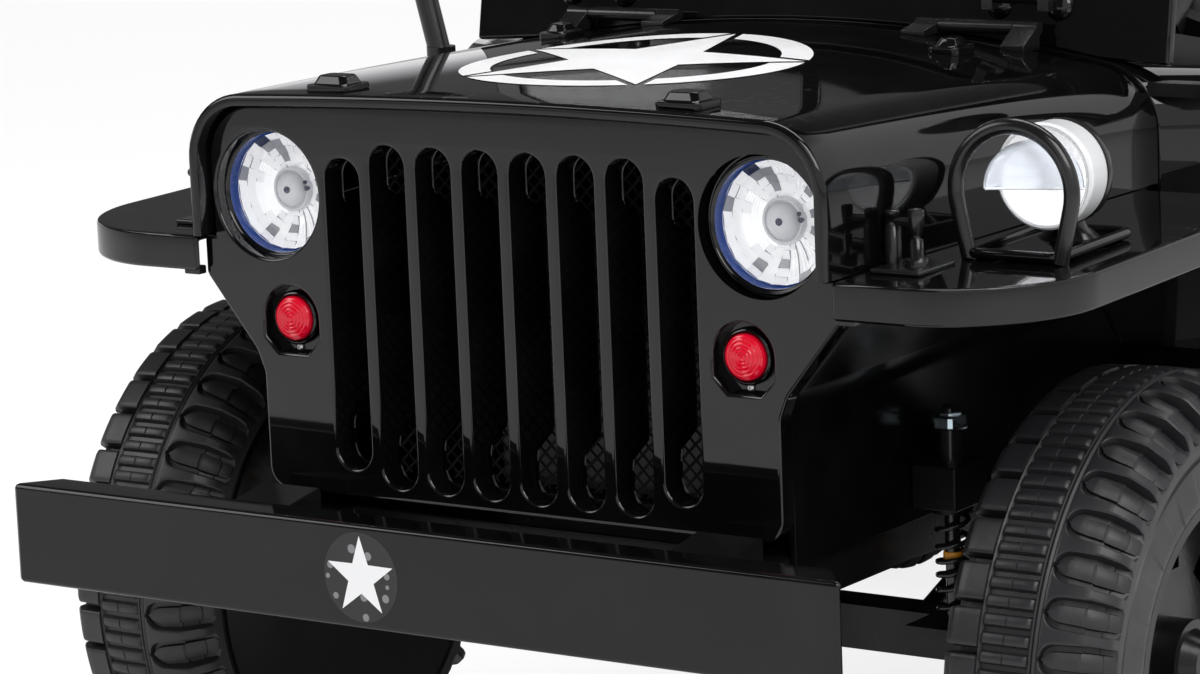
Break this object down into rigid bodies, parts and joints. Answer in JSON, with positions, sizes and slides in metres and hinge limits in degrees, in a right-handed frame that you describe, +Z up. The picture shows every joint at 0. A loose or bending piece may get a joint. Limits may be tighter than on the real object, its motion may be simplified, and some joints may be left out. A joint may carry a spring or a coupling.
{
  "type": "ride-on toy field car",
  "caption": "Child's ride-on battery toy in the shape of an open military 4x4 field car, with steering, opening hood and fold-down windscreen.",
  "frame": {"origin": "on the ground at the middle of the car's length and width", "axes": "-Y towards the nose, +X to the car's own left, +Z up"},
  "size_m": [0.714, 1.27, 0.8347],
  "materials": {
    "body_black": "glossy moulded black plastic",
    "grille_black": "semi-gloss moulded black plastic",
    "frame_black": "satin black moulding",
    "axle_steel": "black painted steel",
    "tyre_black": "matte dark grey-black moulded tyre",
    "rim_dark": "dark grey moulded rim",
    "lamp_silver": "faceted silver reflector",
    "lamp_clear": "clear lens",
    "marker_black": "black bezel",
    "lamp_red": "red lens",
    "screen_clear": "clear sheet",
    "spring_black": "black coil",
    "seat_black": "black leatherette",
    "battery_grey": "grey battery case",
    "trim_black": "black trim"
  },
  "bodies": {
    "body": {"chassis_frame": "frame_black", "front_bumper": "body_black", "front_axle": "axle_steel", "rear_axle": "axle_steel", "battery": "battery_grey", "spare_tyre": "tyre_black", "spare_rim": "rim_dark", "grille_panel": "grille_black", "grille_mesh": "frame_black", "front_fender_left": "body_black", "front_fender_right": "body_black", "engine_bay": "frame_black", "cowl": "body_black", "body_sides": "body_black", "wheel_boxes": "frame_black", "tail_panel": "body_black", "floor_pan": "frame_black", "dashboard": "grille_black", "windscreen_sill": "body_black", "hinge_brackets": "trim_black", "spot_lamp_guard": "trim_black", "spot_lamp_body": "body_black", "spot_lamp_lens": "lamp_clear", "steering_column": "trim_black", "gear_lever": "trim_black", "pedal": "trim_black", "headlamp_housings": "lamp_silver", "headlamp_lenses": "lamp_clear", "marker_housings": "marker_black", "marker_lenses": "lamp_red", "front_springs": "spring_black", "rear_springs": "spring_black", "hood_catches": "trim_black", "mirrors": "trim_black", "seat_shells": "body_black", "seat_cushions": "seat_black", "seat_back_pads": "seat_black", "tail_lamp_bodies": "marker_black", "tail_lamp_lenses": "lamp_red", "rear_bumperettes": "body_black"},
    "hood": {"hood": "body_black", "hood_blocks": "body_black", "hood_hinge_leaves": "trim_black"},
    "windscreen": {"windscreen_frame": "body_black", "windscreen_glass": "screen_clear", "windscreen_hinges": "trim_black"},
    "steering_wheel": {"steering_wheel": "trim_black"},
    "knuckle_left": {"knuckle_left": "axle_steel"},
    "knuckle_right": {"knuckle_right": "axle_steel"},
    "tie_rod": {"tie_rod": "axle_steel"},
    "wheel_front_left": {"tyre_front_left": "tyre_black", "rim_front_left": "rim_dark"},
    "wheel_front_right": {"tyre_front_right": "tyre_black", "rim_front_right": "rim_dark"},
    "wheel_rear_left": {"tyre_rear_left": "tyre_black", "rim_rear_left": "rim_dark"},
    "wheel_rear_right": {"tyre_rear_right": "tyre_black", "rim_rear_right": "rim_dark"}
  },
  "joints": [
    {"name": "steering_turn", "type": "hinge", "parent": "body", "child": "steering_wheel", "pos_m": [0.14, -0.005, 0.492], "axis": [0, 0.766, 0.6428], "range_deg": [-60, 60]},
    {"name": "knuckle_left_turn", "type": "hinge", "parent": "body", "child": "knuckle_left", "pos_m": [0.225, -0.345, 0.164], "axis": [0, 0, 1], "range_deg": [-21.5, 21.5]},
    {"name": "knuckle_right_turn", "type": "hinge", "parent": "body", "child": "knuckle_right", "pos_m": [-0.225, -0.345, 0.164], "axis": [0, 0, 1], "range_deg": [-21.5, 21.5]},
    {"name": "tie_rod_slide", "type": "slide", "parent": "body", "child": "tie_rod", "axis": [-1, 0, 0], "range_m": [-0.0205, 0.0205]},
    {"name": "hood_open", "type": "hinge", "parent": "body", "child": "hood", "pos_m": [0, -0.2105, 0.5005], "axis": [-1, 0, 0], "range_deg": [0, 55]},
    {"name": "windscreen_fold", "type": "hinge", "parent": "body", "child": "windscreen", "pos_m": [0, -0.20245, 0.52], "axis": [-1, 0, 0], "range_deg": [-104.6, 0]},
    {"name": "wheel_front_left_spin", "type": "hinge", "parent": "knuckle_left", "child": "wheel_front_left", "pos_m": [0.3097, -0.345, 0.164], "axis": [1, 0, 0], "continuous": true},
    {"name": "wheel_front_right_spin", "type": "hinge", "parent": "knuckle_right", "child": "wheel_front_right", "pos_m": [-0.3097, -0.345, 0.164], "axis": [1, 0, 0], "continuous": true},
    {"name": "wheel_rear_left_spin", "type": "hinge", "parent": "body", "child": "wheel_rear_left", "pos_m": [0.3097, 0.375, 0.164], "axis": [1, 0, 0], "continuous": true},
    {"name": "wheel_rear_right_spin", "type": "hinge", "parent": "body", "child": "wheel_rear_right", "pos_m": [-0.3097, 0.375, 0.164], "axis": [1, 0, 0], "continuous": true}
  ],
  "couplings": [
    {"joint": "knuckle_left_turn", "follows": "steering_turn", "ratio": 0.35},
    {"joint": "knuckle_right_turn", "follows": "steering_turn", "ratio": 0.35},
    {"joint": "tie_rod_slide", "follows": "steering_turn", "m_per_rad": 0.01925}
  ]
}
